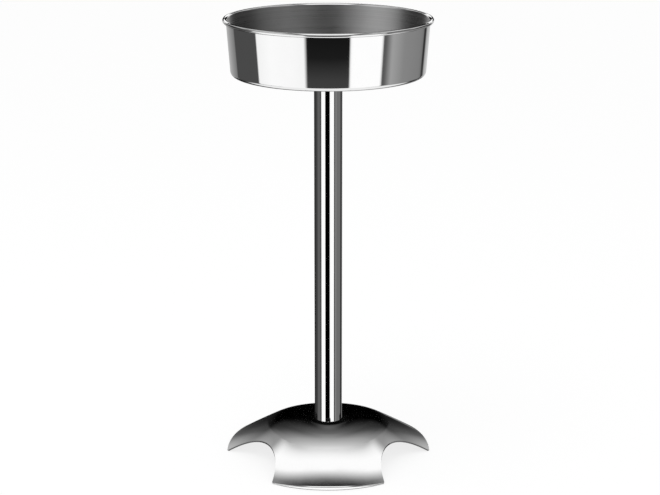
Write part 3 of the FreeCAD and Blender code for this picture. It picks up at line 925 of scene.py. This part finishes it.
# Flags all round the pan give its wall wider bands than the far ones give the pole. The
# dark bands are a little paler low down.
PAN_FLAG_RADIUS = 0.20
PAN_FLAG_LOW, PAN_FLAG_HIGH = 0.40, 0.504
PAN_FLAG_REACH = 0.18
PAN_TONES = [
    (-180, 0.6), (-140, 0.55), (-118, 0.34), (-103, 0.19), (-101.5, 0.067), (-66, 0.067),
    (-65, 0.9), (-50, 0.97), (-30, 0.95), (-19, 0.92), (-17.5, 0.0), (17, 0.0), (18.5, 1.0),
    (46, 1.0), (47.5, 0.09), (50, 0.1), (57, 0.34), (72, 0.235), (100, 0.205), (106, 0.17),
    (108, 0.03), (113, 0.03), (117, 0.4), (130, 0.6), (180, 0.6),
]
DARK_BAND_TONES = [(0.42, 0.05), (0.434, 0.045), (0.46, 0.011), (0.504, 0.004)]


def pan_bands(nodes, links):
    """Tone by the bearing about the pole's axis, or by the height where that is paler."""
    split = nodes.new("ShaderNodeSeparateXYZ")
    links.new(nodes.new("ShaderNodeTexCoord").outputs["Object"], split.inputs["Vector"])
    front = negative(nodes, links, split.outputs["Y"])
    bearing = turn_node(nodes, links, split.outputs["X"], front)
    flags = colour_ramp(nodes, links, bearing, angle_stops(PAN_TONES))
    tall = PAN_FLAG_HIGH - PAN_FLAG_LOW
    rise = math_node(nodes, links, "MULTIPLY_ADD", split.outputs["Z"], 1 / tall,
                     -PAN_FLAG_LOW / tall)
    dark = colour_ramp(nodes, links, rise,
                       [((z - PAN_FLAG_LOW) / tall, tone) for z, tone in DARK_BAND_TONES])
    return math_node(nodes, links, "MAXIMUM", flags, dark)


close_card("pan_flags", radii=(PAN_FLAG_RADIUS, PAN_FLAG_RADIUS),
           heights=(PAN_FLAG_LOW, PAN_FLAG_HIGH), span=(0, 360), columns=181,
           material=near_glow("pan_flags", PAN_FLAG_REACH, bands=pan_bands))

# A white card behind the pan, just above it, shows in its rim.
RIM_CARD_RADIUS = 0.28
RIM_CARD_LOW, RIM_CARD_HIGH = 0.555, 0.60
RIM_CARD_REACH = 0.30
close_card("rim_card", radii=(RIM_CARD_RADIUS, RIM_CARD_RADIUS),
           heights=(RIM_CARD_LOW, RIM_CARD_HIGH), span=(40, 140), columns=61,
           material=near_glow("rim_card", RIM_CARD_REACH))

# A grey disc under the base, and over its edge a white card in front of the front foot, show
# in the lips. The grey disc is painted shade: it stands in for the floor's shadow under the
# base, as the lips would reflect it. Both lie just under the floor's surface.
FOOT_CARD_REACH = 0.05
SHADE_TONE = 0.12
SHADE_RADII, FOOT_CARD_RADII = (0.002, 0.145), (0.1225, 0.14)
SHADE_HEIGHT, FOOT_CARD_HEIGHT = -0.2 * MM, -0.1 * MM
# Painted shade: a dark disc that the lips reflect in place of the shadowed floor under the
# base.
close_card("foot_shade", radii=SHADE_RADII, heights=(SHADE_HEIGHT, SHADE_HEIGHT),
           span=(0, 360), columns=73,
           material=near_glow("foot_shade", FOOT_CARD_REACH, SHADE_TONE))
close_card("foot_card", radii=FOOT_CARD_RADII, heights=(FOOT_CARD_HEIGHT, FOOT_CARD_HEIGHT),
           span=(-122, -58), columns=41,
           material=near_glow("foot_card", FOOT_CARD_REACH))


# ======== lamp ========
# One wide soft lamp overhead, which the polish doesn't show. It gives the shadow on the
# floor its direction.

LAMP_WIDTH = 1.6
LAMP_WATTS = 12
LAMP_PLACE = (-0.5, -0.6, 2.4)
LAMP_TILT = (math.radians(14), math.radians(-12), 0)

lamp_data = bpy.data.lights.new("soft_top", "AREA")
lamp_data.shape = "DISK"
lamp_data.size = LAMP_WIDTH
lamp_data.energy = LAMP_WATTS
lamp = bpy.data.objects.new("soft_top", lamp_data)
lamp.location = LAMP_PLACE
lamp.rotation_euler = LAMP_TILT
lamp.visible_glossy = False
bpy.context.scene.collection.objects.link(lamp)


# ======== camera ========
# In front of the stand and higher than its rim, a hair beside its axis, looking down at
# it through a long lens.

CAMERA_DISTANCE = 1.9294
CAMERA_HEIGHT = 0.8015
CAMERA_SIDE = 0.002
CAMERA_PITCH = math.radians(15.943)
CAMERA_LENS = 95.04
CAMERA_SENSOR = 36

camera_data = bpy.data.cameras.new("camera")
camera_data.lens = CAMERA_LENS
camera_data.sensor_width = CAMERA_SENSOR
camera = bpy.data.objects.new("camera", camera_data)
camera.location = (CAMERA_SIDE, -CAMERA_DISTANCE, CAMERA_HEIGHT)
camera.rotation_euler = (math.pi / 2 - CAMERA_PITCH, 0, 0)
bpy.context.scene.collection.objects.link(camera)
bpy.context.scene.camera = camera
bpy.context.scene.view_settings.view_transform = "Standard"
